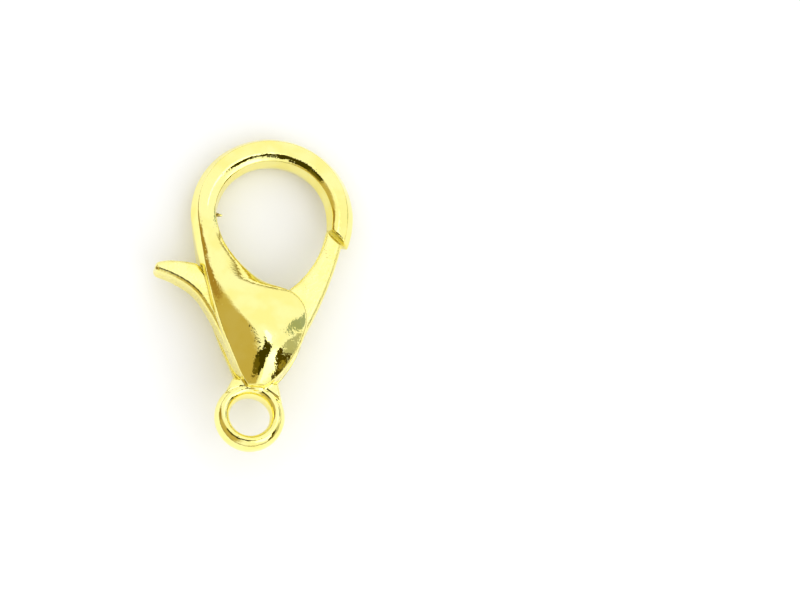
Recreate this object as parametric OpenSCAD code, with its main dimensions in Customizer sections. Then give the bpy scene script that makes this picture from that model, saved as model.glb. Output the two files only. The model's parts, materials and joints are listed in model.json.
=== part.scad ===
// Lobster clasp for a necklace or bracelet, 12 mm long.
// Everything is drawn in the clasp's own frame: the bail ring's centre is the origin,
// +X is the gate side, +Y runs along the clasp to the crown of the hook and +Z is its front.
// The finished clasp is then laid down on its back, as it lies on a table.

/* [Overall] */
// Length from the outside of the bail ring to the crown of the hook
clasp_l = 12; // [11:0.1:14]
// Thickness at the peak of the dome, front to back
body_t = 3.1; // [2.8:0.05:3.6]

/* [Bail ring] */
// Outer diameter of the ring
bail_d = 2.55; // [2.4:0.05:2.9]
// Diameter of the ring's bore
bail_bore_d = 1.5; // [1.3:0.05:1.6]
// Thickness of the ring, front to back
bail_t = 1.0; // [0.9:0.05:1.1]
// Length of the straight part in the middle of the bore
bail_land = 0.3; // [0.2:0.05:0.4]
// Distance from the outside of the ring to the floor of the slot
neck_l = 0.055; // [0.03:0.005:0.1]
// Thickness of the neck that joins ring and dome
neck_t = 0.9; // [0.8:0.05:1]
// Width of the neck under the dome
neck_w = 1.6; // [1.4:0.05:1.8]

/* [Hook] */
// Outer diameter of the hook's loop
loop_d = 6; // [5.8:0.05:6.6]
// Width of the hook's wire, seen from the front
hook_w = 0.88; // [0.8:0.01:1.0]
// Thickness of the hook's wire, front to back
hook_t = 1.26; // [1.1:0.02:1.4]
// Thickness of the wire between the creases where its walls begin
hook_edge_t = 0.88; // [0.7:0.02:0.9]
// Height of the straight band round the wire's outside, front to back
hook_band_t = 0.44; // [0.3:0.02:0.6]
// How far the wire's outer wall leans in between its middle and its crease
hook_draft = 0.24; // [0.15:0.01:0.28]
// How far the wire's inner wall leans in
hook_inner_draft = 0.09; // [0.05:0.01:0.15]
// Angle of the slanted tip at its outer edge, below the loop's centre
tip_outer_angle = 13.5; // [12:0.5:18]
// Angle of the slanted tip at its inner edge
tip_inner_angle = 6.5; // [4:0.5:9]

/* [Dome] */
// Greatest width of the dome, crease to crease
dome_w = 3.38; // [3.1:0.02:3.7]
// Distance from the bail's centre to the dome's corner by the gate
dome_l = 4.42; // [4.2:0.02:4.7]
// Thickness of the dome at its crease, front to back
dome_edge_t = 1.7; // [1.6:0.05:1.9]
// How far the walls below the dome's crease lean out
dome_draft = 0.08; // [0.04:0.01:0.14]

/* [Slot and lever] */
// Thickness of the lever
lever_t = 1.0; // [0.9:0.02:1.06]
// Gap between the lever and each cheek
lever_clr = 0.05; // [0.03:0.01:0.08]
// Gap between the lever and the ends of the slot
stop_gap = 0.06; // [0.04:0.01:0.08]
// How far the thumb tab stands out past the loop
thumb_reach = 1.12; // [0.9:0.02:1.3]
// Height of the thumb tab's end above the bail's centre
thumb_y = 5.23; // [5:0.05:5.4]
// Thickness of the thumb tab's end, seen from the front
thumb_end_w = 0.46; // [0.4:0.02:0.54]
// Width of the gate where it meets the hook's tip
gate_w = 0.8; // [0.7:0.02:0.86]
// How far the lever's edges round in between its middle and its faces
lever_draft = 0.14; // [0.06:0.01:0.18]

/* [Pivot and spring] */
// Distance of the pivot from the clasp's centre line, towards the gate
pivot_x = 0.15; // [0.05:0.01:0.25]
// Distance of the pivot from the bail's centre
pivot_y = 2.45; // [2.4:0.01:2.52]
// Diameter of the pivot pin
pin_d = 0.8; // [0.7:0.02:0.9]
// Length of the pivot pin
pin_l = 2.2; // [2:0.05:2.4]
// Gap all round between the pin and the lever's bore
pin_clr = 0.03; // [0.02:0.01:0.05]
// Gap all round between the pin and its sockets in the cheeks
socket_clr = 0.01; // [0.01:0.01:0.02]
// How far the gate swings open, in degrees
open_angle = 22; // [18:1:24]
// Thickness of the spring strip
spring_t = 0.12; // [0.1:0.01:0.14]
// Width of the spring strip, front to back
spring_w = 0.6; // [0.5:0.05:0.7]
// Gap between the spring's legs and the faces that they push apart
spring_clr = 0.02; // [0.01:0.01:0.04]

/* [Hidden] */
$fn = 48;
GOLD = [0.93, 0.80, 0.22];
STEEL = [0.72, 0.72, 0.70];

loop_r = loop_d / 2;
bail_r = bail_d / 2;
slot_floor = bail_r + neck_l;
axis_l = clasp_l - bail_r - loop_r;
pivot = [pivot_x, pivot_y];
slot_w = lever_t + 2 * lever_clr;

// Small helpers
function mix(a, b, t) = a + (b - a) * t;
function polar(r, a) = [r * cos(a), r * sin(a)];
function unit(v) = v / norm(v);
function normal_of(v) = [v.y, -v.x] / norm(v);
function bend(p, q, r, n) = [for (i = [1 : n]) let (t = i / n)
    (1 - t) * (1 - t) * p + 2 * t * (1 - t) * q + t * t * r];
function backwards(list) = [for (i = [len(list) - 1 : -1 : 0]) list[i]];
function mirrored(half) = concat(half, [for (p = backwards(half)) [p.x, p.y, -p.z]]);
function spline(a, b, c, d, t) = 0.5 * (2 * b + (c - a) * t
    + (2 * a - 5 * b + 4 * c - d) * t * t + (3 * b - a - 3 * c + d) * t * t * t);

// Dome sections from the ring end to the arm. The first six columns place a section in plan:
// its left crease, its ridge and its right crease. X is a share of half of dome_w, Y of dome_l.
// Rise is the ridge's height over the crease, as a share of the peak's, and edge is the
// crease's own height as a share. Left and right are the roundness of the two flanks.
// left x, left y, ridge x, ridge y, right x, right y, rise, edge, left, right
DOME = [
    [-0.12, 0.243, 0.05, 0.243, 0.22, 0.243, 0.12, 0.80, 2.0, 2.0],
    [-0.28, 0.303, 0.06, 0.280, 0.42, 0.300, 0.42, 0.90, 2.0, 2.2],
    [-0.42, 0.404, 0.07, 0.360, 0.62, 0.400, 0.73, 0.96, 2.0, 2.2],
    [-0.57, 0.504, 0.09, 0.470, 0.79, 0.511, 0.91, 0.99, 2.0, 2.2],
    [-0.72, 0.605, 0.12, 0.585, 0.92, 0.632, 1.00, 1.00, 1.9, 2.1],
    [-0.85, 0.706, 0.01, 0.677, 1.00, 0.758, 1.00, 1.00, 1.8, 1.9],
    [-0.97, 0.807, -0.22, 0.751, 1.00, 0.886, 0.93, 1.00, 1.7, 1.7],
    [-1.09, 0.908, -0.45, 0.848, 0.89, 1.000, 0.83, 1.00, 1.6, 1.4],
    [-1.19, 1.004, -0.64, 0.946, 0.68, 1.081, 0.72, 0.98, 1.6, 1.4],
    [-1.28, 1.099, -0.82, 1.049, 0.36, 1.119, 0.62, 0.94, 1.6, 1.4]
];

// Arm sections, from the dome up to the loop. X is a share of loop_r, Y runs from the
// dome's last section (0) to the loop's centre (1). The other columns are as above.
ARM = [
    [-0.77, 0.12, -0.55, 0.08, 0.01, 0.05, 0.51, 0.87, 1.7, 1.4],
    [-0.81, 0.28, -0.63, 0.22, -0.18, 0.16, 0.43, 0.78, 1.8, 1.5],
    [-0.85, 0.45, -0.69, 0.39, -0.35, 0.31, 0.38, 0.68, 1.9, 1.6],
    [-0.88, 0.63, -0.74, 0.58, -0.50, 0.48, 0.34, 0.60, 2.0, 1.7],
    [-0.91, 0.80, -0.78, 0.75, -0.61, 0.65, 0.31, 0.55, 2.0, 1.8]
];

// The full height that the table's shares refer to
edge_h = dome_edge_t / 2;
rise_h = body_t / 2 - edge_h;
last_y = dome_l * 1.1;

function dome_row(r) = [r[0] * dome_w / 2, r[1] * dome_l, r[2] * dome_w / 2, r[3] * dome_l,
    r[4] * dome_w / 2, r[5] * dome_l, r[6] * rise_h, r[7] * edge_h, r[8], r[9],
    dome_draft, dome_draft, slot_w / 2];
function arm_row(r, t) = [r[0] * loop_r, mix(last_y, axis_l, r[1]), r[2] * loop_r,
    mix(last_y, axis_l, r[3]), r[4] * loop_r, mix(last_y, axis_l, r[5]),
    r[6] * rise_h, r[7] * edge_h, r[8], r[9],
    mix(dome_draft, hook_draft, sqrt(t)), mix(dome_draft, hook_inner_draft, t),
    mix(slot_w / 2, hook_band_t / 2, t)];

// A section of the loop at the angle a, with its outer and inner edge turned by their own
// amounts, so that the last one lies in the slanted end face
function loop_row(a, outer_turn, inner_turn) = let (
        c = [0, axis_l],
        o = c + polar(loop_r - hook_draft, a - outer_turn),
        i = c + polar(loop_r - hook_w + hook_inner_draft, a - inner_turn),
        m = mix(o, i, 0.5))
    [o.x, o.y, m.x, m.y, i.x, i.y, (hook_t - hook_edge_t) / 2, hook_edge_t / 2, 2.2, 2.2,
        hook_draft, hook_inner_draft, hook_band_t / 2];

TURN_START = 184;
TURN_STEP = 8;
LAST_PLAIN = 8;
TURNS = floor((TURN_START - LAST_PLAIN) / TURN_STEP);
tip_rows = [for (t = [0.5, 1]) loop_row(LAST_PLAIN * (1 - t),
    tip_outer_angle * t, tip_inner_angle * t)];
shank_rows = concat([for (r = DOME) dome_row(r)],
    [for (i = [0 : len(ARM) - 1]) arm_row(ARM[i], (i + 1) / (len(ARM) + 1))]);
loop_rows = [for (i = [0 : TURNS]) loop_row(TURN_START - i * TURN_STEP, 0, 0)];
rows = concat(shank_rows, loop_rows, tip_rows);

// The rows with one smooth one put in after each row of the dome and the arm
last_shank = len(shank_rows);
body_rows = concat(
    [for (i = [0 : last_shank - 1]) each [rows[i],
        spline(rows[max(i - 1, 0)], rows[i], rows[i + 1], rows[i + 2], 0.5)]],
    [for (i = [last_shank : len(rows) - 1]) rows[i]]);

// One section's outline: the front half from the outer wall over the ridge to the inner
// wall, then the back half, which mirrors it. FLANK spaces the points of each flank, from
// the crease (1) towards the ridge (0).
FLANK = [1, 0.86, 0.66, 0.44, 0.22];
function flank(ridge, edge, rise, base, power) = [for (s = FLANK)
    let (p = mix(ridge, edge, s)) [p.x, p.y, base + rise * (1 - pow(s, power))]];
function section(r) = let (
        left = [r[0], r[1]], ridge = [r[2], r[3]], right = [r[4], r[5]],
        across = unit(left - right),
        a = left + across * r[10], b = right - across * r[11],
        f = flank(ridge, left, r[6], r[7], r[8]),
        g = flank(ridge, right, r[6], r[7], r[9]),
        front = concat(f, [[ridge.x, ridge.y, r[7] + r[6]]], backwards(g)))
    mirrored(concat([[a.x, a.y, r[12]]], front, [[b.x, b.y, r[12]]]));

sections = [for (r = body_rows) section(r)];

// A closed solid through a list of rings that all have the same number of points
module loft(rings) {
    n = len(rings[0]);
    m = len(rings);
    points = [for (ring = rings) each ring];
    walls = [for (i = [0 : m - 2]) for (k = [0 : n - 1])
        let (a = i * n + k, b = i * n + (k + 1) % n)
        each [[a, a + n, b], [b, a + n, b + n]]];
    caps = [[for (k = [0 : n - 1]) k], [for (k = [n - 1 : -1 : 0]) (m - 1) * n + k]];
    polyhedron(points, concat(walls, caps), convexity = 8);
}

// The slanted end face of the hook's tip: its direction outwards, the direction away from
// it and its inner edge
tip_row = rows[len(rows) - 1];
tip_dir = unit([tip_row[0] - tip_row[4], tip_row[1] - tip_row[5]]);
tip_back = [tip_dir.y, -tip_dir.x];
tip_in = [tip_row[4], tip_row[5]] - tip_dir * hook_inner_draft;

// A place given by its share of the way from a to b, and its share of that length to the left
function beside(a, b, along, left) = mix(a, b, along) + [a.y - b.y, b.x - a.x] * left;
function turned(p, c, a) = c + [cos(a) * (p.x - c.x) - sin(a) * (p.y - c.y),
    sin(a) * (p.x - c.x) + cos(a) * (p.y - c.y)];

// Places on the lever. The gate ends just short of the tip's end face, and the hub is as
// large as the slot's floor lets it be. The heel is where the hub runs into the thumb tab,
// the shoulder is where the tab leaves the slot, and the throat is above the hub.
gate_in = tip_in + tip_back * stop_gap;
gate_out = gate_in + tip_dir * gate_w;
gate_waist = beside(pivot, gate_out, 0.5, 0.11);
notch = beside(pivot, gate_out, 0.2, 0.2);
thumb_r = thumb_end_w / 2;
thumb_c = [-loop_r - thumb_reach + thumb_r, thumb_y];
thumb_root = beside(pivot, thumb_c, 0.585, 0);
hub_r = pivot_y - slot_floor - stop_gap;
hub_foot = pivot - [0, hub_r];
hub_gate = pivot + polar(hub_r * 1.12, 0);
hub_heel = pivot + polar(hub_r * 1.06, 207);
shoulder = [-0.86 * loop_r, thumb_y + thumb_end_w * 0.68];
throat = mix(shoulder, notch, 0.5) + [-0.03, -0.06] * loop_r;

// The outline runs from the gate's end down its outer edge, round the hub to the heel, along
// the thumb tab and back over the notch to the gate
gate_outer = bend(gate_out, beside(pivot, gate_out, 0.64, -0.15), hub_gate, 8);
hub_edge = concat(bend(hub_gate, hub_foot + [hub_r, 0], hub_foot, 5),
    bend(hub_foot, hub_foot - [hub_r * 0.6, 0], hub_heel, 4));
thumb_under = concat(bend(hub_heel, beside(pivot, thumb_c, 0.4, 0.055), thumb_root, 5),
    bend(thumb_root, beside(pivot, thumb_c, 0.745, -0.055), thumb_c - [0, thumb_r], 6));
thumb_end = [for (a = [-120 : -30 : -240]) thumb_c + polar(thumb_r, a)];
thumb_top = concat(bend(thumb_c + polar(thumb_r, 100), beside(thumb_c, shoulder, 0.43, 0.2),
    shoulder, 5), bend(throat, beside(throat, notch, 0.5, -0.13), notch, 5));
gate_inner = concat(bend(notch, beside(pivot, gate_out, 0.33, 0.12), gate_waist, 5),
    bend(gate_waist, beside(pivot, gate_out, 0.77, 0.03), gate_in, 6));
lever_outline = backwards(concat([gate_out], gate_outer, hub_edge, thumb_under, thumb_end,
    thumb_top, gate_inner));

// The slot ends in a face that the lever's upper edge rests against, one gap away. Beside it
// the web between the cheeks leaves room for the open gate and the folded spring, and past
// the web the slot opens into the loop.
slant = unit(throat - shoulder);
lift = [slant.y, -slant.x] * -stop_gap;
web_x = turned(gate_waist, pivot, open_angle).x - 4 * spring_t;
web_y = notch.y + 0.6 * hub_r;
mouth_y = axis_l - loop_r * 0.45;

slot_outline = [[-loop_d, slot_floor], [loop_d, slot_floor], [loop_d, mouth_y],
    [web_x, mouth_y], [web_x, web_y], throat + lift, shoulder + lift,
    shoulder + lift - slant * loop_r];

module body() color(GOLD) difference() {
    union() {
        loft(sections);
        rotate_extrude() bail_profile();
        slab(neck_outline, neck_t);
    }
    cylinder(d = bail_bore_d, h = bail_t + 1, center = true);
    slab(slot_outline, slot_w);
    at_pivot() cylinder(d = pin_d + 2 * socket_clr, h = pin_l + 2 * socket_clr, center = true);
}

module at_pivot() translate([pivot.x, pivot.y, 0]) children();

// A flat piece with straight walls, half of it on each side of the clasp's middle
module slab(outline, t) translate([0, 0, -t / 2]) linear_extrude(t) polygon(outline);

// The front half of the ring's section, from the straight bore over the rounded face to the
// leaning outer wall: share of the ring's width, share of half its thickness
RING = [[0.08, 0.62], [0.22, 0.88], [0.42, 1.0], [0.6, 0.94], [0.76, 0.78], [1, 0.5]];
module bail_profile() {
    bore_r = bail_bore_d / 2;
    half = concat([[bore_r, bail_land / 2]],
        [for (p = RING) [mix(bore_r, bail_r, p.x), p.y * bail_t / 2]]);
    polygon(concat(half, [for (p = backwards(half)) [p.x, -p.y]]));
}

// The neck spreads from inside the foot of the dome to the sides of the ring. Its end lies
// inside the ring's wall.
neck_lap = 0.12;
neck_y = slot_floor + neck_lap;
neck_outline = [[neck_w / 2, neck_y], [-neck_w / 2, neck_y], polar(bail_r * 0.97, 152),
    polar(bail_r * 0.84, 118), polar(bail_r * 0.84, 62), polar(bail_r * 0.97, 28)];

// A flat piece whose edges round in by draft on their way to each face, in fine steps. LEAN
// gives each step's share of the thickness and its share of the draft.
LEAN = [[1, 1], [0.94, 0.6], [0.84, 0.3], [0.68, 0.1], [0.5, 0]];
module plate(outline, t, draft) for (k = LEAN) slab(shrink(outline, draft * k.y), t * k.x);

// An anticlockwise outline moved in by d, along the normals at its points
function shrink(pts, d) = let (n = len(pts)) [for (i = [0 : n - 1]) let (
        u = normal_of(pts[i] - pts[(i + n - 1) % n]),
        v = normal_of(pts[(i + 1) % n] - pts[i]),
        m = unit(u + v))
    pts[i] - m * d / max(m * u, 0.6)];

module lever() color(GOLD) difference() {
    plate(lever_outline, lever_t, lever_draft);
    at_pivot() cylinder(d = pin_d + 2 * pin_clr, h = lever_t + 1, center = true);
}

module pivot_pin() color(STEEL) at_pivot() cylinder(d = pin_d, h = pin_l, center = true);

// The spring is a strip bent to a hairpin: one leg lies along the web, the other along the
// gate's inner edge
spring_off = spring_clr + spring_t / 2;
spring_web = web_x + spring_off;
spring_leg = [for (i = [0 : 3]) let (q = gate_inner[i + 1] - gate_inner[i])
    mix(gate_inner[i], gate_inner[i + 1], 0.5) - normal_of(q) * spring_off];
spring_top = [spring_web, web_y + hub_r * 0.6];
spring_knee = [spring_web, web_y];
spring_line = concat([spring_top, spring_knee],
    bend(spring_knee, [spring_web, spring_leg[0].y], spring_leg[0], 5),
    [for (i = [1 : 3]) spring_leg[i]]);
function band_side(line, d) = let (n = len(line)) [for (i = [0 : n - 1])
    line[i] + normal_of(line[min(i + 1, n - 1)] - line[max(i - 1, 0)]) * d];
module return_spring() color(STEEL) slab(concat(band_side(spring_line, spring_t / 2),
    backwards(band_side(spring_line, -spring_t / 2))), spring_w);

// The clasp lies on its back: on the dome's ridge and on two places of the hook's ridge,
// either side of where the line from the dome through its centre of mass meets the hook
DOME_FOOT = 11;
HOOK_FOOT = 10;
function foot(r) = [r[2], r[3], -r[6] - r[7]];
feet = [foot(body_rows[DOME_FOOT]), foot(loop_rows[HOOK_FOOT]), foot(loop_rows[HOOK_FOOT + 1])];
up = unit(cross(feet[2] - feet[0], feet[1] - feet[0]));
along = unit([0, 1, 0] - up * up.y);
side = cross(along, up);
middle = [-thumb_reach / 2, along.y * (clasp_l / 2 - bail_r)];

module laid_down() multmatrix([concat(side, -middle.x), concat(along, -middle.y),
    concat(up, -up * feet[0])]) children();

laid_down() body();
laid_down() lever();
laid_down() pivot_pin();
laid_down() return_spring();
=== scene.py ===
"""A gold-plated lobster clasp, 12 mm long, lying on its back on a pale table.

The pieces are modelled in millimetres in the clasp's own frame: the ring's centre is the origin, +X is
the gate side, +Y runs along the clasp to the crown of the hook and +Z is its front. A finished piece is
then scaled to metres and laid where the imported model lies.
"""

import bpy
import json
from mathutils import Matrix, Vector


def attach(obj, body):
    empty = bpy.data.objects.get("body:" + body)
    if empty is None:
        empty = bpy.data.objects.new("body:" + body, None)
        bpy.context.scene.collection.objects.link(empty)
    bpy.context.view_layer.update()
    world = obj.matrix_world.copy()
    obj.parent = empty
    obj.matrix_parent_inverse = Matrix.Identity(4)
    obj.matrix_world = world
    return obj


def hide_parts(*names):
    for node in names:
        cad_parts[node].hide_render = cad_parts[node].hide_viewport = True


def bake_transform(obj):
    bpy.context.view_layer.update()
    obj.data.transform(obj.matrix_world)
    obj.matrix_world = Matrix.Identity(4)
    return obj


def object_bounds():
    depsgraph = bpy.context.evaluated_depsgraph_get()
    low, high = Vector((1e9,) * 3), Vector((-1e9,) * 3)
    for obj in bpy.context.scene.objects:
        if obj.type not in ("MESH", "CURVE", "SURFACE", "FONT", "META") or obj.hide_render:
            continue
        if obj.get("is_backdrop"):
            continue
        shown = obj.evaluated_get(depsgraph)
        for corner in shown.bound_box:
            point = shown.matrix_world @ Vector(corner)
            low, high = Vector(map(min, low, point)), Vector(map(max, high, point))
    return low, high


bl_info = {
    "name": "Lobster Clasp",
    "version": (1, 0, 0),
    "blender": (4, 5, 0),
    "location": "View3D > Sidebar > Clasp",
    "description": "Models a plated lobster clasp: casting, lever, pin and return spring",
    "category": "Add Mesh",
}

import json
import math

import bmesh
import bpy
from mathutils import Matrix, Vector

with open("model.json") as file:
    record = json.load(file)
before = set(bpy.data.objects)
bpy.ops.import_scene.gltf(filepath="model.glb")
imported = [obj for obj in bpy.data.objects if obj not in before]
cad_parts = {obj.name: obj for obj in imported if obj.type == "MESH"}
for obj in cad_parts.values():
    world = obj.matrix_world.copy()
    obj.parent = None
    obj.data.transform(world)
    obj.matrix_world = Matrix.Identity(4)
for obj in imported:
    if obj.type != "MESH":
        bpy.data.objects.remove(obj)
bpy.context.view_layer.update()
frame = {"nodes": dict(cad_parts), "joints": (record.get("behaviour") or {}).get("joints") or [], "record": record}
MOUNTS = {mount["name"]: mount for mount in frame["record"]["mounts"]}
HINGE = frame["joints"][0]
MM = 0.001  # a millimetre in metres


def clasp_to_table():
    """The matrix from the clasp's own frame, in millimetres, to its place on the table, in metres."""
    front = Vector(MOUNTS["bail_bore"]["axis"]).normalized()
    crown = -Vector(MOUNTS["hook_seat"]["axis"]).normalized()
    turned = Matrix((crown.cross(front), crown, front)).transposed().to_4x4()
    return Matrix.Translation(MOUNTS["bail_bore"]["pos_m"]) @ turned @ Matrix.Scale(MM, 4)


LAY_DOWN = clasp_to_table()
PIVOT = (LAY_DOWN.inverted() @ Vector(HINGE["pos_m"])).to_2d()
OPEN_ANGLE = HINGE["range_deg"][1]
BORE_R = MOUNTS["bail_bore"]["dims"]["r_mm"]


class ClaspSizes(bpy.types.PropertyGroup):
    """Sizes of the clasp, in millimetres."""

    length: bpy.props.FloatProperty(
        name="Length", description="From the outside of the ring to the crown of the hook",
        default=12, min=11, max=14)
    thickness: bpy.props.FloatProperty(
        name="Thickness", description="At the peak of the dome, front to back", default=3.1)
    ring_d: bpy.props.FloatProperty(
        name="Ring", description="Outer diameter of the ring", default=2.55)
    ring_t: bpy.props.FloatProperty(
        name="Ring thickness", description="Thickness of the ring, front to back", default=1.0)
    loop_d: bpy.props.FloatProperty(
        name="Loop", description="Outer diameter of the hook's loop", default=6)
    hook_w: bpy.props.FloatProperty(
        name="Hook width", description="Width of the hook's wire, seen from the front", default=0.88)
    hook_t: bpy.props.FloatProperty(
        name="Hook thickness", description="Thickness of the hook's wire, front to back", default=1.26)
    dome_w: bpy.props.FloatProperty(
        name="Dome width", description="Greatest width of the dome, crease to crease", default=3.38)
    dome_l: bpy.props.FloatProperty(
        name="Dome length", description="From the ring's centre to the dome's corner by the gate",
        default=4.42)
    lever_t: bpy.props.FloatProperty(
        name="Lever thickness", description="Thickness of the lever's plate", default=1.0)
    lever_gap: bpy.props.FloatProperty(
        name="Lever gap", description="Gap between the lever and each cheek of the slot", default=0.05)
    thumb_reach: bpy.props.FloatProperty(
        name="Thumb reach", description="How far the thumb tab stands out past the loop", default=1.12)


class ClaspFinish(bpy.types.PropertyGroup):
    """Colours and surface of the plated metal."""

    gold: bpy.props.FloatVectorProperty(
        name="Gold", description="Colour of the plate where it is thickest", subtype="COLOR",
        size=3, min=0, max=1, default=(1.0, 0.925, 0.34))
    gold_deep: bpy.props.FloatVectorProperty(
        name="Deep gold", description="Colour of the plate in its darker clouds", subtype="COLOR",
        size=3, min=0, max=1, default=(0.98, 0.88, 0.26))
    steel: bpy.props.FloatVectorProperty(
        name="Steel", description="Colour of the pin and the spring", subtype="COLOR",
        size=3, min=0, max=1, default=(0.55, 0.55, 0.53))
    polish: bpy.props.FloatProperty(
        name="Polish", description="Roughness of the polished casting", subtype="FACTOR",
        min=0, max=1, default=0.03)
    cast: bpy.props.FloatProperty(
        name="Cast faces", description="Roughness of the lever, which is left as cast",
        subtype="FACTOR", min=0, max=1, default=0.2)


class ClaspStudio(bpy.types.PropertyGroup):
    """Table, light and camera."""

    table: bpy.props.FloatVectorProperty(
        name="Table", description="Colour of the table", subtype="COLOR",
        size=3, min=0, max=1, default=(0.93, 0.93, 0.93))
    lens: bpy.props.FloatProperty(
        name="Lens", description="Focal length in millimetres", default=800, min=50, max=1000)
    px_per_mm: bpy.props.FloatProperty(
        name="Scale", description="Pixels for each millimetre of the clasp in the picture", default=27)


def wanted(name):
    """One of the scene's property groups."""
    return getattr(bpy.context.scene, name)


# Places in plan

def mix(a, b, share):
    return a + (b - a) * share


def polar(radius, degrees):
    return Vector((radius * math.cos(math.radians(degrees)), radius * math.sin(math.radians(degrees))))


def beside(a, b, along, left):
    """A place given by its share of the way from a to b, and its share of that length to the left."""
    return mix(a, b, along) + Vector((a.y - b.y, b.x - a.x)) * left


def bend(start, pull, end, count):
    """Points on a curve from start to end that leans towards pull, without the start itself."""
    shares = [i / count for i in range(1, count + 1)]
    return [start * (1 - t) ** 2 + pull * 2 * t * (1 - t) + end * t ** 2 for t in shares]


# Modelling

class Draft:
    """A piece that is being drawn in edit mode, from a closed outline through the places."""

    def __init__(self, name, places, fill="NOTHING"):
        bpy.ops.object.select_all(action="DESELECT")
        bpy.ops.mesh.primitive_circle_add(vertices=len(places), radius=1, fill_type=fill)
        self.piece = bpy.context.object
        self.piece.name = self.piece.data.name = name
        self.edit()
        self.start = list(self.mesh.verts)
        self.move_each(self.start, places)

    def edit(self, mode="VERT"):
        bpy.ops.object.mode_set(mode="EDIT")
        bpy.ops.mesh.select_mode(type=mode)
        self.mesh = bmesh.from_edit_mesh(self.piece.data)

    def done(self):
        """Merges doubled vertices, turns the faces outwards and leaves edit mode."""
        bpy.ops.mesh.select_all(action="SELECT")
        bpy.ops.mesh.remove_doubles(threshold=0.001)
        bpy.ops.mesh.normals_make_consistent(inside=False)
        bpy.ops.object.mode_set(mode="OBJECT")
        return self.piece

    def pick(self, parts):
        """Selects only these vertices, edges or faces."""
        bpy.ops.mesh.select_all(action="DESELECT")
        for part in parts:
            part.select_set(True)
        self.mesh.select_flush(True)

    def move_each(self, corners, places):
        """Moves each vertex to its place."""
        for corner, spot in zip(corners, places, strict=True):
            self.pick([corner])
            bpy.ops.transform.translate(value=Vector(spot).to_3d() - corner.co)

    def extrude_to(self, ring, places):
        """Extrudes a ring of vertices and moves the new ring's vertices to their places."""
        self.pick(ring)
        bpy.ops.mesh.extrude_region_move()
        new = [next(e.other_vert(v) for e in v.link_edges if e.other_vert(v).select)
               for v in ring]
        self.move_each(new, places)
        return new

    def close_end(self, ring, rim):
        """Closes a ring with a face, and keeps its rim crisp with a narrow inset."""
        self.pick(ring)
        bpy.ops.mesh.edge_face_add()
        bpy.ops.mesh.inset(thickness=rim)


def finished(piece, kind, **settings):
    """Puts a modifier with these settings on the piece and applies it."""
    bpy.ops.object.select_all(action="DESELECT")
    piece.select_set(True)
    bpy.context.view_layer.objects.active = piece
    bpy.ops.object.modifier_add(type=kind)
    modifier = piece.modifiers[-1]
    for setting, value in settings.items():
        setattr(modifier, setting, value)
    bpy.ops.object.modifier_apply(modifier=modifier.name)
    return piece


FACING = 0.99  # how squarely a face has to look to the front or the back to count as one of theirs
ROUND_SIDES = 48  # sides of a drill


def plate(name, places, thickness, steps=()):
    """A flat piece with half its thickness on each side of the clasp's middle. Each step towards a
    face is a pair: how far the wall leans in and how far it rises."""
    straight = thickness / 2 - sum(rise for _, rise in steps)
    draft = Draft(name, [(*p[:2], -straight) for p in places], fill="NGON")
    bpy.ops.mesh.select_all(action="SELECT")
    bpy.ops.mesh.extrude_region_move(TRANSFORM_OT_translate={"value": (0, 0, 2 * straight)})
    draft.done()
    draft.edit("FACE")
    for way in (1, -1):
        draft.pick([f for f in draft.mesh.faces if f.normal.z * way > FACING])
        for lean, rise in steps:
            bpy.ops.mesh.inset(thickness=lean, depth=rise, use_even_offset=True)
    bpy.ops.object.mode_set(mode="OBJECT")
    return draft.piece


def cut(piece, tool):
    """Cuts the tool's shape out of the piece and throws the tool away."""
    finished(piece, "BOOLEAN", operation="DIFFERENCE", solver="EXACT", object=tool)
    bpy.data.objects.remove(tool)


def drill(piece, radius, depth):
    """Drills the hole for the pin."""
    bpy.ops.object.select_all(action="DESELECT")
    bpy.ops.mesh.primitive_cylinder_add(
        vertices=ROUND_SIDES, radius=radius, depth=depth, location=(*PIVOT, 0))
    cut(piece, bpy.context.object)


def cast_together(name, pieces, voxel, keep):
    """Melts closed shapes that overlap into one casting with softly rounded corners, and keeps a
    share of its faces, where they are needed most."""
    bpy.ops.object.select_all(action="DESELECT")
    for piece in pieces:
        piece.select_set(True)
    bpy.context.view_layer.objects.active = pieces[0]
    bpy.ops.object.join()
    casting = bpy.context.object
    casting.name = casting.data.name = name
    finished(casting, "REMESH", mode="VOXEL", voxel_size=voxel, use_smooth_shade=True)
    finished(casting, "SMOOTH", factor=0.5, iterations=3)
    finished(casting, "DECIMATE", ratio=keep)
    return casting


def ripple(piece, name, size, height):
    """Gives the surface the shallow unevenness of a casting that was tumbled bright."""
    clouds = bpy.data.textures.new(name, "CLOUDS")
    clouds.noise_scale = size
    clouds.noise_depth = 1
    finished(piece, "DISPLACE", texture=clouds, strength=height, mid_level=0.5)


def blob(place, size, turn):
    """A small lump of metal left by the mould."""
    bpy.ops.object.select_all(action="DESELECT")
    bpy.ops.mesh.primitive_ico_sphere_add(subdivisions=2, radius=1, location=place, rotation=turn)
    bpy.ops.object.mode_set(mode="EDIT")
    bpy.ops.transform.resize(value=size, center_override=place)
    bpy.ops.object.mode_set(mode="OBJECT")
    bpy.ops.object.transform_apply(location=True, rotation=True, scale=True)
    return bpy.context.object


def lay_down(piece, material, slot, *nodes):
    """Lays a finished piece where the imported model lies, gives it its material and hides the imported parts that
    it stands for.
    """
    bpy.ops.object.select_all(action="DESELECT")
    piece.select_set(True)
    bpy.context.view_layer.objects.active = piece
    piece.matrix_world = LAY_DOWN
    bpy.ops.object.transform_apply(location=True, rotation=True, scale=True)
    bpy.ops.object.shade_smooth()
    piece.data.materials.clear()
    piece.data.materials.append(material)
    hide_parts(*nodes)


# Materials

DARK_SPOT_COLOUR = (0.3, 0.2, 0.03)  # colour the plate is darkened to at its spots; where a spot sits in the slot's gap this is painted shade
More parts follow.
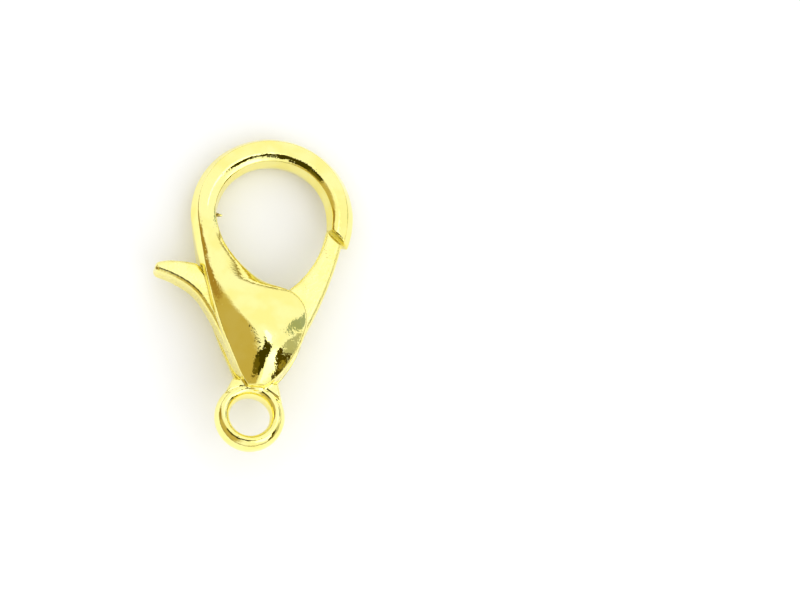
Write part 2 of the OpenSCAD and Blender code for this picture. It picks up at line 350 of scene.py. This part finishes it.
# Darker spots, each with its place in the clasp's frame and its radius, in millimetres. The two casting spots by
# the dome's left crease lie in the slot's gap and paint its shade there
CAST_SPOTS = (((-2.0, 7.6, 0.1), 0.14), ((-0.9, 2.0, 0.0), 0.1), ((-0.95, 2.2, 0.2), 0.05))
LEVER_SPOTS = (((-4.05, 5.15, 0.4), 0.08), ((-3.2, 4.7, 0.2), 0.06), ((2.2, 6.4, 0.5), 0.02),
               ((2.3, 6.5, 0.5), 0.02), ((2.15, 6.55, 0.5), 0.02), ((2.35, 6.35, 0.5), 0.015))
SPOT_END = 1.6  # where a spot has faded out, as a share of its radius
DENT = 0.004  # depth of the plate's wide shallow dents
DRAWN = 0.002  # depth of the streaks in drawn steel
DARK_STREAK = 0.75  # brightness of the darkest of them


def add_node(tree, kind, inputs=(), **settings):
    """Adds a node, sets it up and gives its inputs values or links."""
    node = tree.nodes.new(kind)
    for setting, value in settings.items():
        setattr(node, setting, value)
    for socket, value in dict(inputs).items():
        if isinstance(value, bpy.types.NodeSocket):
            tree.links.new(value, node.inputs[socket])
        else:
            node.inputs[socket].default_value = value
    return node


def ramp(tree, value, low, high, start=0, end=1, kind="SMOOTHSTEP"):
    """Turns a value that runs from low to high into one that runs from start to end."""
    return add_node(tree, "ShaderNodeMapRange", {0: value, 1: low, 2: high, 3: start, 4: end},
                    interpolation_type=kind).outputs[0]


def blended(tree, share, first, second):
    """Mixes the second colour into the first."""
    return add_node(tree, "ShaderNodeMix", {0: share, 6: first, 7: second},
                    data_type="RGBA").outputs[2]


def relief(tree, height, depth, below=None):
    """Presses a pattern into the surface, depth in millimetres, on top of the relief below it."""
    inputs = {"Strength": 1, "Distance": depth * MM, "Height": height}
    if below is not None:
        inputs["Normal"] = below
    return add_node(tree, "ShaderNodeBump", inputs).outputs[0]


def metal(tree, shader, colour, dull, normal):
    """Makes the shader a metal with this colour, roughness and relief."""
    for socket, value in (("Base Color", colour), ("Roughness", dull), ("Normal", normal)):
        tree.links.new(value, shader.inputs[socket])
    shader.inputs["Metallic"].default_value = 1


def new_material(name):
    material = bpy.data.materials.new(name)
    material.use_nodes = True
    tree = material.node_tree
    place = add_node(tree, "ShaderNodeTexCoord").outputs["Object"]
    return material, tree, tree.nodes["Principled BSDF"], place


def darkened_at_spots(tree, place, grain, colour, spots):
    """Darkens the plate at small spots, each given by its place in the clasp and its radius. Where a spot sits in
    the slot's gap, the darkening is painted shade.
    """
    worst = 0
    for spot, radius in spots:
        near = add_node(tree, "ShaderNodeVectorMath", {0: place, 1: LAY_DOWN @ Vector(spot)},
                        operation="DISTANCE")
        ragged = add_node(tree, "ShaderNodeMath", {
            0: grain, 1: radius * MM, 2: near.outputs["Value"]}, operation="MULTIPLY_ADD")
        mark = ramp(tree, ragged.outputs[0], radius * MM, radius * SPOT_END * MM, 1, 0, "LINEAR")
        worst = add_node(tree, "ShaderNodeMath", {0: worst, 1: mark},
                         operation="MAXIMUM").outputs[0]
    return blended(tree, worst, colour, (*DARK_SPOT_COLOUR, 1))


def gold_plate(name, roughness, grain, pits, spots):
    """Bright gold plate: clouds of slightly deeper gold, a fine pebbled skin, sparse pits and darker spots at
    listed places, which are painted shade where they sit in the slot's gap. The depths of the grain and the pits
    are in millimetres."""
    finish = wanted("clasp_finish")
    material, tree, shader, place = new_material(name)
    clouds = add_node(tree, "ShaderNodeTexNoise", {"Vector": place, "Scale": 1100, "Detail": 2})
    pebbles = add_node(tree, "ShaderNodeTexNoise", {
        "Vector": place, "Scale": 11000, "Detail": 1.5, "Roughness": 0.5}).outputs["Fac"]
    dents = add_node(tree, "ShaderNodeTexNoise", {
        "Vector": place, "Scale": 3200, "Detail": 1}).outputs["Fac"]
    cells = add_node(tree, "ShaderNodeTexVoronoi", {"Vector": place, "Scale": 9000})
    colour = blended(tree, ramp(tree, clouds.outputs["Fac"], 0.35, 0.65),
                     (*finish.gold, 1), (*finish.gold_deep, 1))
    sparse = add_node(tree, "ShaderNodeMath", {
        0: ramp(tree, cells.outputs["Distance"], 0.08, 0.3),
        1: ramp(tree, dents, 0.56, 0.66, 1, 0)}, operation="MAXIMUM").outputs[0]
    skin = relief(tree, pebbles, grain, below=relief(tree, dents, DENT))
    metal(tree, shader, darkened_at_spots(tree, place, pebbles, colour, spots),
          ramp(tree, pebbles, 0.3, 0.7, roughness * 0.7, roughness * 1.5, "LINEAR"),
          relief(tree, sparse, pits, below=skin))
    return material


def bright_steel(name, stretch):
    """Plain drawn steel: streaks along its length, darker and lighter by turns."""
    finish = wanted("clasp_finish")
    material, tree, shader, place = new_material(name)
    along = add_node(tree, "ShaderNodeMapping", {"Vector": place, "Scale": stretch})
    streaks = add_node(tree, "ShaderNodeTexNoise", {
        "Vector": along.outputs[0], "Scale": 9000, "Detail": 4}).outputs["Fac"]
    dark = tuple(c * DARK_STREAK for c in finish.steel)
    metal(tree, shader, blended(tree, streaks, (*dark, 1), (*finish.steel, 1)),
          ramp(tree, streaks, 0, 1, 0.18, 0.42, "LINEAR"), relief(tree, streaks, DRAWN))
    return material


# The casting's sections. Each row is the place of the left crease, the ridge and the right crease, then
# the ridge's rise over the creases, the creases' height, and the roundness of the left and right flank.
# Up the dome, X is a share of half the dome's width and Y of its length.
DOME = (
    (-0.14, 0.229, 0.05, 0.228, 0.22, 0.234, 0.14, 0.92, 1.5, 1.5),
    (-0.30, 0.298, 0.10, 0.280, 0.44, 0.300, 0.34, 0.95, 1.6, 1.6),
    (-0.45, 0.400, 0.13, 0.360, 0.64, 0.400, 0.59, 0.97, 1.6, 1.7),
    (-0.60, 0.500, 0.15, 0.470, 0.80, 0.511, 0.80, 0.99, 1.6, 1.7),
    (-0.75, 0.602, 0.14, 0.585, 0.93, 0.632, 0.94, 1.00, 1.6, 1.7),
    (-0.88, 0.704, 0.01, 0.677, 1.01, 0.758, 0.99, 1.00, 1.6, 1.7),
    (-1.00, 0.806, -0.22, 0.751, 1.02, 0.886, 0.95, 1.00, 1.6, 1.7),
    (-1.11, 0.908, -0.45, 0.848, 0.91, 1.000, 0.83, 1.00, 1.6, 1.4),
    (-1.19, 1.004, -0.64, 0.946, 0.68, 1.081, 0.72, 0.98, 1.6, 1.4),
    (-1.28, 1.099, -0.82, 1.049, 0.36, 1.119, 0.62, 0.94, 1.6, 1.4),
)
# Up the arm, X is a share of the loop's radius, and Y runs from the dome (0) to the loop's centre (1)
ARM = (
    (-0.75, 0.12, -0.55, 0.08, 0.01, 0.05, 0.51, 0.87, 1.5, 1.4),
    (-0.795, 0.28, -0.63, 0.22, -0.18, 0.16, 0.43, 0.78, 1.4, 1.5),
    (-0.83, 0.45, -0.69, 0.39, -0.35, 0.31, 0.38, 0.68, 1.4, 1.6),
    (-0.87, 0.63, -0.73, 0.58, -0.50, 0.48, 0.33, 0.61, 1.4, 1.4),
    (-0.905, 0.80, -0.77, 0.75, -0.61, 0.65, 0.27, 0.58, 1.3, 1.2),
)
# Round the loop: the angle, then the radii of the outer wall, the outer crease, the ridge, the inner
# crease and the inner wall, as shares of the loop's radius, and the roundness of the inner flank
LOOP = (
    (184, 1.003, 0.930, 0.820, 0.715, 0.680, 1.2),
    (160, 1.015, 0.950, 0.822, 0.708, 0.673, 1.2),
    (130, 1.028, 0.965, 0.820, 0.710, 0.670, 1.6),
    (100, 1.035, 0.975, 0.815, 0.705, 0.672, 2.2),
    (75, 1.038, 0.980, 0.825, 0.718, 0.685, 2.0),
    (50, 1.038, 0.978, 0.825, 0.730, 0.690, 1.5),
    (30, 1.035, 0.970, 0.820, 0.745, 0.695, 1.4),
    (8, 1.030, 0.955, 0.820, 0.755, 0.695, 1.4),
)
FLANK = (0.96, 0.87, 0.66, 0.44, 0.22)  # where a flank has points, from its lip to the ridge
LIP = 0.11  # the share of the ridge's rise that the lip along the creases takes up
WALL = (0, 0.14, 0.86)  # where a wall has points, from its foot (0) to the crease (1)
DOME_EDGE = 1.7  # thickness of the dome at its creases
DOME_LEAN = 0.02  # how far the walls below the dome's creases lean out
HOOK_EDGE = 1.03  # thickness of the hook between its creases
OUTER_POWER = 1.4  # roundness of the loop's outer flank
HOOK_BAND = 0.14  # height of the straight band round the outside of the hook
HOOK_LEAN_OUT = 0.27  # how far the hook's outer wall leans out below its crease
HOOK_LEAN_IN = 0.09  # and its inner wall
LOOP_START, LOOP_END, LOOP_STEP = 184, 8, 8  # angles of the loop's whole sections
TIP_TURN_OUT, TIP_TURN_IN = 13.5, 6.5  # how far the slanted tip's edges pass the loop's centre
TIP_INSET = 0.24  # how far the tip's outer crease lies inside the loop's outside
DOME_END = 1.1  # where the dome gives way to the arm, as a share of its length


# The lever. A pair is a place's share of the way along the lever and how far left of that line it is, from
# the pin to the gate's end for the gate, from the pin to the thumb's end for the thumb tab
GATE_END = 0.8  # width of the gate's end
WAIST, WAIST_PULL = (0.5, 0.11), (0.77, 0.03)  # the gate's narrowest place and the curve after it
NOTCH, NOTCH_PULL = (0.2, 0.2), (0.33, 0.12)  # the corner where the spring starts and the curve after it
GATE_PULL = (0.64, -0.15)  # what the gate's outer edge curves towards
THUMB_ROOT, HEEL_PULL, ROOT_PULL = (0.585, 0), (0.4, 0.055), (0.745, -0.055)
SHOULDER_PULL, THROAT_PULL = (0.43, 0.2), (0.5, -0.13)
THUMB_R, THUMB_Y = 0.23, 5.23  # the thumb tab's round end
THUMB_ANGLES, THUMB_TOP = (-115, -250, -20), 100  # where that round end has its points
SHOULDER_X, SHOULDER_RISE = -0.86, 0.3128  # where the tab's upper edge meets the hook
THROAT_OFF = (-0.03, -0.06)  # how far the throat lies off the straight line from shoulder to notch
HUB_GATE_SIDE, HUB_HEEL, HEEL_ANGLE = 1.12, 1.06, 207  # the hub's widest places
FOOT_REACH = 0.6  # how flat the hub's foot runs towards the thumb
# The slot
END_GAP = 0.06  # between the lever and the ends of the slot
FLOOR_RISE = 0.055  # height of its floor above the ring
SPRING_ROOM = 0.48  # room for the spring beside the opened gate
WEB_RISE = 0.6  # height of the web's corner above the notch, as a share of the hub's radius
MOUTH = 0.45  # how far below the loop's centre the slot opens into the loop
# The ring's section as shares: how far out through its wall, and how much of half its thickness
RING_SECTION = ((0, 0.3), (0.08, 0.62), (0.22, 0.88), (0.42, 1.0), (0.6, 0.94), (0.78, 0.76),
                (0.93, 0.5), (1, 0.2))
RING_SWELL = 0.04  # what the smoothing takes off the ring's rim
# The neck's outline: its corners on the slot's floor, then its corners on the ring
NECK_RIGHT, NECK_LEFT = 0.92, -0.8
NECK_ON_RING = ((0.98, 148), (0.84, 118), (0.84, 62), (1, 27))
NECK_T, NECK_STEPS = 0.96, ((0.04, 0.14), (0.05, 0.06))
LEVER_STEPS = ((0.03, 0.1), (0.05, 0.05), (0.06, 0.03))
# Small lumps left by the mould: place, size and turn
GATE_MARK = (0.14, 1.0, 0.46), (0.27, 0.1, 0.09), (0, 0, 0)  # the pad at the foot of the dome
LOOP_BURR = (-2.0, 7.6, 0.1), (0.22, 0.07, 0.08), (0, 0, -0.2)  # on the parting line, in the loop
LEVER_BURR = (-3.15, 4.84, -0.3), (0.16, 0.07, 0.06), (0, 0, -0.4)  # under the thumb tab
# The hidden parts
CAST_HOLE_R, CAST_HOLE_DEPTH = 0.42, 2.24  # the pin's blind holes in the cheeks
LEVER_HOLE_R, LEVER_HOLE_DEPTH = 0.44, 2
STRIP_T, STRIP_W, STRIP_GAP = 0.12, 0.6, 0.02  # the spring's strip and its gap to the lever


class Layout:
    """Lengths and places that the casting, the lever and the spring share, in millimetres."""

    def __init__(self):
        size = wanted("clasp_sizes")
        self.ring_r = size.ring_d / 2
        self.loop_r = size.loop_d / 2
        self.hub = Vector((0, size.length - self.ring_r - self.loop_r))  # the loop's centre
        self.slot_w = size.lever_t + 2 * size.lever_gap
        self.slot_floor = self.ring_r + FLOOR_RISE
        self.gap = END_GAP
        self.place_lever(size)
        self.place_slot()

    def loop_section(self, angle, outer_turn=0, inner_turn=0):
        """A section of the loop, whose outer and inner edge may be turned on by their own amounts."""
        size = wanted("clasp_sizes")
        before, after = next((a, b) for a, b in zip(LOOP, LOOP[1:]) if angle >= b[0] or b is LOOP[-1])
        share = min(1, (before[0] - angle) / (before[0] - after[0]))
        wall_out, crease_out, ridge, crease_in, wall_in = (
            mix(a, b, share) * self.loop_r for a, b in zip(before[1:6], after[1:6]))
        outer = self.hub + polar(crease_out, angle - outer_turn)
        inner = self.hub + polar(crease_in, angle - inner_turn)
        top = mix(outer, inner, (crease_out - ridge) / (crease_out - crease_in))
        return section(outer, top, inner, (size.hook_t - HOOK_EDGE) / 2, HOOK_EDGE / 2, OUTER_POWER,
                       mix(before[6], after[6], share), wall_out - crease_out, crease_in - wall_in,
                       HOOK_BAND / 2)

    def shank_sections(self):
        """The sections from the foot of the dome up to the loop."""
        size = wanted("clasp_sizes")
        edge = DOME_EDGE / 2
        rise = size.thickness / 2 - edge
        wide, last = size.dome_w / 2, size.dome_l * DOME_END
        rings = []
        for row in DOME:
            spots = [Vector((row[i] * wide, row[i + 1] * size.dome_l)) for i in (0, 2, 4)]
            rings.append(section(*spots, row[6] * rise, row[7] * edge, row[8], row[9],
                                 DOME_LEAN, DOME_LEAN, self.slot_w / 2))
        for i, row in enumerate(ARM):
            t = (i + 1) / (len(ARM) + 1)
            spots = [Vector((row[i] * self.loop_r, mix(last, self.hub.y, row[i + 1])))
                     for i in (0, 2, 4)]
            rings.append(section(*spots, row[6] * rise, row[7] * edge, row[8], row[9],
                                 mix(DOME_LEAN, HOOK_LEAN_OUT, math.sqrt(t)),
                                 mix(DOME_LEAN, HOOK_LEAN_IN, t),
                                 mix(self.slot_w / 2, HOOK_BAND / 2, t)))
        return rings

    def place_lever(self, size):
        """Finds the lever's outline and the places in the slot that depend on it."""
        outer = polar(self.loop_r - TIP_INSET, -TIP_TURN_OUT)
        inner = polar(self.loop_r - size.hook_w + HOOK_LEAN_IN, -TIP_TURN_IN)
        tip_out = (outer - inner).normalized()
        tip_back = Vector((tip_out.y, -tip_out.x))
        gate_in = self.hub + inner - tip_out * HOOK_LEAN_IN + tip_back * self.gap
        gate_out = gate_in + tip_out * GATE_END
        thumb = Vector((-self.loop_r - size.thumb_reach + THUMB_R, THUMB_Y))
        root = beside(PIVOT, thumb, *THUMB_ROOT)
        self.hub_r = PIVOT.y - self.slot_floor - self.gap
        foot = PIVOT - Vector((0, self.hub_r))
        gate_side = PIVOT + polar(self.hub_r * HUB_GATE_SIDE, 0)
        heel = PIVOT + polar(self.hub_r * HUB_HEEL, HEEL_ANGLE)
        self.notch = beside(PIVOT, gate_out, *NOTCH)
        self.waist = beside(PIVOT, gate_out, *WAIST)
        self.shoulder = Vector((SHOULDER_X * self.loop_r, THUMB_Y + SHOULDER_RISE))
        self.throat = mix(self.shoulder, self.notch, 0.5) + Vector(THROAT_OFF) * self.loop_r
        self.gate_inner = (
            bend(self.notch, beside(PIVOT, gate_out, *NOTCH_PULL), self.waist, 6)
            + bend(self.waist, beside(PIVOT, gate_out, *WAIST_PULL), gate_in, 6))
        line = [gate_out]
        line += bend(gate_out, beside(PIVOT, gate_out, *GATE_PULL), gate_side, 10)
        line += bend(gate_side, foot + Vector((self.hub_r, 0)), foot, 6)
        line += bend(foot, foot - Vector((self.hub_r * FOOT_REACH, 0)), heel, 5)
        line += bend(heel, beside(PIVOT, thumb, *HEEL_PULL), root, 6)
        line += bend(root, beside(PIVOT, thumb, *ROOT_PULL), thumb - Vector((0, THUMB_R)), 8)
        line += [thumb + polar(THUMB_R, a) for a in range(*THUMB_ANGLES)]
        line += bend(thumb + polar(THUMB_R, THUMB_TOP), beside(thumb, self.shoulder, *SHOULDER_PULL),
                     self.shoulder, 8)
        line += bend(self.throat, beside(self.throat, self.notch, *THROAT_PULL), self.notch, 5)
        self.lever_line = (line + self.gate_inner)[::-1]

    def place_slot(self):
        """Finds the outline of the slot between the cheeks. It opens to both sides and into the loop."""
        turn = Matrix.Rotation(math.radians(OPEN_ANGLE), 2)
        web_x = (PIVOT + turn @ (self.waist - PIVOT)).x - SPRING_ROOM
        web_y = self.notch.y + WEB_RISE * self.hub_r
        mouth_y = self.hub.y - self.loop_r * MOUTH
        slant = (self.throat - self.shoulder).normalized()
        lift = Vector((-slant.y, slant.x)) * self.gap
        wide = self.loop_r * 2
        self.web = Vector((web_x, web_y))
        self.slot = [Vector((-wide, self.slot_floor)), Vector((wide, self.slot_floor)),
                     Vector((wide, mouth_y)), Vector((web_x, mouth_y)), self.web,
                     self.throat + lift, self.shoulder + lift,
                     self.shoulder + lift - slant * self.loop_r]


def section(left, ridge, right, rise, edge, left_power, right_power, lean_out, lean_in, band):
    """One section of the casting: the front half from the outer wall over the ridge to the inner
    wall, then the back half, which mirrors it."""
    across = (left - right).normalized()

    def flank(crease, power):
        drops = [(1, 1)] + [(s, (1 - LIP) * (s / FLANK[0]) ** power) for s in FLANK]
        return [mix(ridge, crease, s).to_3d() + Vector((0, 0, edge + rise * (1 - drop)))
                for s, drop in drops]

    def wall(crease, lean):
        foot = (crease + across * lean).to_3d() + Vector((0, 0, band))
        return [mix(foot, crease.to_3d() + Vector((0, 0, edge)), s) for s in WALL]

    front = [*wall(left, lean_out), *flank(left, left_power),
             ridge.to_3d() + Vector((0, 0, edge + rise)), *flank(right, right_power)[::-1],
             *wall(right, -lean_in)[::-1]]
    return front + [Vector((p.x, p.y, -p.z)) for p in reversed(front)]


class CLASP_OT_casting(bpy.types.Operator):
    """Model the casting: ring, neck, slotted dome and hook"""

    bl_idname = "clasp.casting"
    bl_label = "Model Casting"

    def execute(self, context):
        plan = Layout()
        casting = self.shank(plan)
        cut(casting, plate("slot", plan.slot, plan.slot_w))
        drill(casting, CAST_HOLE_R, CAST_HOLE_DEPTH)
        parts = [casting, self.ring(plan), self.neck(plan), blob(*GATE_MARK), blob(*LOOP_BURR)]
        casting = cast_together("cast_body", parts, voxel=0.028, keep=0.4)
        ripple(casting, "tumbled", size=0.8, height=0.02)
        gold = gold_plate("gold_plate", wanted("clasp_finish").polish, grain=0.0035, pits=0.003,
                          spots=CAST_SPOTS)
        lay_down(casting, gold, "gold_plate", "body")
        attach(casting, "casting")
        return {"FINISHED"}

    def shank(self, plan):
        """The hook and the dome, drawn ring by ring from the foot of the dome to the tip."""
        rings = plan.shank_sections()
        shank = Draft("shank", rings[0])
        ring = shank.start
        rings += [plan.loop_section(a) for a in range(LOOP_START, LOOP_END - 1, -LOOP_STEP)]
        rings += [plan.loop_section(LOOP_END * (1 - share), TIP_TURN_OUT * share, TIP_TURN_IN * share)
                  for share in (0.5, 1)]
        for places in rings[1:]:
            ring = shank.extrude_to(ring, places)
        shank.close_end(ring, rim=0.04)
        shank.close_end(shank.start, rim=0.03)
        return finished(shank.done(), "SUBSURF", levels=2, render_levels=2)

    def ring(self, plan):
        """The ring, spun from its section: a short bore that opens out, and a round outside."""
        half_t = wanted("clasp_sizes").ring_t / 2
        wall = plan.ring_r + RING_SWELL - BORE_R
        half = [Vector((BORE_R + wall * x, 0, z * half_t)) for x, z in RING_SECTION]
        ring = Draft("ring", half + [Vector((p.x, 0, -p.z)) for p in reversed(half)])
        ring.pick(ring.start)
        bpy.ops.mesh.spin(steps=64, angle=math.tau, center=(0, 0, 0), axis=(0, 0, 1))
        return finished(ring.done(), "SUBSURF", levels=1, render_levels=1)

    def neck(self, plan):
        """The neck, which spreads from the foot of the dome to the sides of the ring."""
        line = [Vector((x, plan.slot_floor)) for x in (NECK_RIGHT, NECK_LEFT)]
        line += [polar(plan.ring_r * share, angle) for share, angle in NECK_ON_RING]
        return plate("neck", line, NECK_T, NECK_STEPS)


class CLASP_OT_lever(bpy.types.Operator):
    """Model the lever: gate, hub and thumb tab"""

    bl_idname = "clasp.lever"
    bl_label = "Model Lever"

    def execute(self, context):
        plan = Layout()
        lever = plate("lever_plate", plan.lever_line, wanted("clasp_sizes").lever_t, LEVER_STEPS)
        drill(lever, LEVER_HOLE_R, LEVER_HOLE_DEPTH)
        lever = cast_together("cast_lever", [lever, blob(*LEVER_BURR)], voxel=0.025, keep=0.5)
        ripple(lever, "as_cast", size=0.5, height=0.012)
        gold = gold_plate("gold_plate_lever", wanted("clasp_finish").cast, grain=0.006, pits=0.008,
                          spots=LEVER_SPOTS)
        lay_down(lever, gold, "gold_plate_lever", "lever")
        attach(lever, "trigger")
        return {"FINISHED"}


class CLASP_OT_pin(bpy.types.Operator):
    """Finish the pin that the lever turns on"""

    bl_idname = "clasp.pin"
    bl_label = "Finish Pin"

    def execute(self, context):
        pin = frame["nodes"]["pivot_pin"]
        steel = bright_steel("pin_steel", stretch=(4, 4, 1))
        if not pin.material_slots:
            pin.data.materials.append(steel)
        for slot in pin.material_slots:
            slot.material = steel
        return {"FINISHED"}


class CLASP_OT_spring(bpy.types.Operator):
    """Model the return spring: a hairpin of strip steel in the slot"""

    bl_idname = "clasp.spring"
    bl_label = "Model Return Spring"

    def execute(self, context):
        plan = Layout()
        off = STRIP_T / 2 + STRIP_GAP
        leg = []
        for a, b in zip(plan.gate_inner[:4], plan.gate_inner[1:5]):
            along = (b - a).normalized()
            leg.append(mix(a, b, 0.5) - Vector((along.y, -along.x)) * off)
        web_x = plan.web.x + off
        knee = Vector((web_x, plan.web.y))
        line = [knee + Vector((0, plan.hub_r * WEB_RISE)), knee]
        line += bend(knee, Vector((web_x, leg[0].y)), leg[0], 6) + leg[1:]
        sides = []
        for way in (1, -1):
            side = []
            for i, point in enumerate(line):
                along = line[min(i + 1, len(line) - 1)] - line[max(i - 1, 0)]
                side.append(point + Vector((along.y, -along.x)).normalized() * way * STRIP_T / 2)
            sides.append(side)
        spring = plate("hairpin_spring", sides[0] + sides[1][::-1], STRIP_W)
        finished(spring, "BEVEL", width=0.02, segments=3, limit_method="ANGLE")
        steel = bright_steel("spring_steel", stretch=(1, 1, 4))
        lay_down(spring, steel, "spring_steel", "return_spring")
        bpy.ops.object.shade_smooth_by_angle(angle=math.radians(40))
        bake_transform(spring)
        return {"FINISHED"}


# The light tent, as the clasp sees it round the camera. Each patch of it has its middle, in degrees away
# from the camera and round from the picture's right, the angles where it is full and where it ends, and
# its light.
TENT = (1.04, 1.06, 1.15)
PATCHES = (
    (80, 185, 28, 46, (0.56, 0.44, 0.19)),
    (50, -160, 28, 46, (0.56, 0.44, 0.19)),
    (69, 155, 9, 14, (0.38, 0.24, 0.06)),
    (33, 42, 7, 14, (2.2, 2.2, 2.2)),
    (48, -28, 17, 28, (2.2, 2.2, 2.2)),
    (0, 0, 12, 13, (0.05, 0.04, 0.0)),
    (15, -172, 13, 14, (0.05, 0.04, 0.0)),
    (14, 35, 10, 11, (0.05, 0.04, 0.0)),
    (27, 15, 8, 9, (0.05, 0.04, 0.0)),
    (25, -162, 9, 11, (0.13, 0.1, 0.01)),
    (17, -125, 8, 9, (0.05, 0.04, 0.0)),
    (12, -45, 7, 8, (0.05, 0.04, 0.0)),
    (76, 27, 7, 8.5, (0.38, 0.44, 0.42)),
    (78, 20, 6, 7, (0.38, 0.44, 0.42)),
    (74, 3, 7, 8, (0.49, 0.5, 0.44)),
    (78, -8, 8, 9, (0.49, 0.5, 0.44)),
    (75, -20, 9, 10, (0.07, 0.05, 0.0)),
    (60, -7, 7, 8, (0.07, 0.05, 0.0)),
    (66, -15, 7, 8, (0.07, 0.05, 0.0)),
    (80, -32, 9, 10, (0.07, 0.05, 0.0)),
    (77, -22, 4, 6, (0.3, 0.23, 0.04)),
)
IMAGE_WIDTH = 800  # pixels
SENSOR = 36  # width of the camera's sensor
FROM_LEFT, FROM_BELOW = 5, 17.5  # how far the camera stands to the clasp's left and lower side, in degrees
LEAN = 6  # how far the clasp leans to the right in the picture, in degrees
MIDDLE = (5.58, 4.34)  # the picture's middle, to the right of the ring's centre and above it
PALE_FIBRE = 1.03  # how much paler than the card its palest fibres are
HORIZON = (0.3, 0.23, 0.07)  # light just above the table, where the tent ends
HORIZON_TOP = 0.2  # sine of the height at which that dark rim ends
ON_TABLE = 1.14  # the even light that falls on the table


class CLASP_OT_studio(bpy.types.Operator):
    """Set up the table, the light and the camera"""

    bl_idname = "clasp.studio"
    bl_label = "Set Up Studio"

    def execute(self, context):
        studio = wanted("clasp_studio")
        camera = self.camera(context, studio)
        self.table(studio)
        self.sky(context.scene, camera.matrix_world.to_3x3())
        context.scene.view_settings.view_transform = "Standard"
        return {"FINISHED"}

    def camera(self, context, studio):
        """A long lens that looks at the clasp from its own lower left."""
        frame_mm = IMAGE_WIDTH / studio.px_per_mm
        to_camera = Vector((-math.tan(math.radians(FROM_LEFT)), -math.tan(math.radians(FROM_BELOW)),
                            1)).normalized()
        lean = math.radians(LEAN)
        upright = (Vector((0, 1, 0)) - to_camera * to_camera.y).normalized()
        right = upright.cross(to_camera)
        picture_right = right * math.cos(lean) + upright * math.sin(lean)
        picture_up = upright * math.cos(lean) - right * math.sin(lean)
        middle = picture_right * MIDDLE[0] + picture_up * MIDDLE[1]
        away = studio.lens / SENSOR * frame_mm
        stand = middle + to_camera * away
        bpy.ops.object.camera_add()
        camera = context.object
        camera.name = "camera"
        camera.data.lens = studio.lens
        camera.data.clip_start = 0.001
        turned = LAY_DOWN.to_3x3().normalized() @ Matrix(
            (picture_right, picture_up, to_camera)).transposed()
        camera.matrix_world = Matrix.Translation(LAY_DOWN @ stand) @ turned.to_4x4()
        context.scene.camera = camera
        return camera

    def table(self, studio):
        """A pale matt table under the clasp."""
        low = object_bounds()[0].z
        bpy.ops.object.select_all(action="DESELECT")
        bpy.ops.mesh.primitive_plane_add(size=1, location=(0, 0, low))
        table = bpy.context.object
        table.name = "table"
        material, tree, shader, place = new_material("table_card")
        fibres = add_node(tree, "ShaderNodeTexNoise", {"Vector": place, "Scale": 900, "Detail": 5})
        pale = tuple(min(1, c * PALE_FIBRE) for c in studio.table)
        colour = blended(tree, fibres.outputs["Fac"], (*studio.table, 1), (*pale, 1))
        tree.links.new(colour, shader.inputs["Base Color"])
        shader.inputs["Roughness"].default_value = 0.9
        table.data.materials.append(material)
        table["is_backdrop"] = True

    def sky(self, scene, turned):
        """A light tent: even white with brighter and darker patches."""
        world = bpy.data.worlds.new("tent")
        world.use_nodes = True
        scene.world = world
        tree = world.node_tree
        toward = add_node(tree, "ShaderNodeTexCoord").outputs["Generated"]
        light = (*TENT, 1)
        for away, round_, full, end, colour in PATCHES:
            ray = turned @ Vector((*polar(math.sin(math.radians(away)), round_),
                                   math.cos(math.radians(away))))
            near = add_node(tree, "ShaderNodeVectorMath", {0: toward, 1: ray},
                            operation="DOT_PRODUCT").outputs["Value"]
            share = ramp(tree, near, math.cos(math.radians(end)), math.cos(math.radians(full)))
            light = blended(tree, share, light, (*colour, 1))
        height = add_node(tree, "ShaderNodeSeparateXYZ", {0: toward}).outputs["Z"]
        light = blended(tree, ramp(tree, height, 0, HORIZON_TOP), (*HORIZON, 1), light)
        path = add_node(tree, "ShaderNodeLightPath")
        light = blended(tree, path.outputs["Is Diffuse Ray"], light, (ON_TABLE, ON_TABLE, ON_TABLE, 1))
        tree.links.new(light, tree.nodes["Background"].inputs["Color"])


class CLASP_PT_panel(bpy.types.Panel):
    """Lists the clasp's pieces in the sidebar"""

    bl_label = "Lobster Clasp"
    bl_idname = "CLASP_PT_panel"
    bl_space_type = "VIEW_3D"
    bl_region_type = "UI"
    bl_category = "Clasp"

    def draw(self, context):
        for operator in STEPS:
            self.layout.operator(operator.bl_idname)
        for group in ("clasp_sizes", "clasp_finish", "clasp_studio"):
            box = self.layout.box()
            for name in getattr(context.scene, group).__annotations__:
                box.prop(getattr(context.scene, group), name)


STEPS = (CLASP_OT_casting, CLASP_OT_lever, CLASP_OT_pin, CLASP_OT_spring, CLASP_OT_studio)
GROUPS = {"clasp_sizes": ClaspSizes, "clasp_finish": ClaspFinish, "clasp_studio": ClaspStudio}


def register():
    for cls in (*GROUPS.values(), *STEPS, CLASP_PT_panel):
        bpy.utils.register_class(cls)
    for name, group in GROUPS.items():
        setattr(bpy.types.Scene, name, bpy.props.PointerProperty(type=group))


def unregister():
    for name in GROUPS:
        delattr(bpy.types.Scene, name)
    for cls in reversed((*GROUPS.values(), *STEPS, CLASP_PT_panel)):
        bpy.utils.unregister_class(cls)


def main():
    """Models the whole clasp."""
    register()
    bpy.ops.clasp.casting()
    bpy.ops.clasp.lever()
    bpy.ops.clasp.pin()
    bpy.ops.clasp.spring()
    bpy.ops.clasp.studio()


if __name__ == "__main__":
    main()
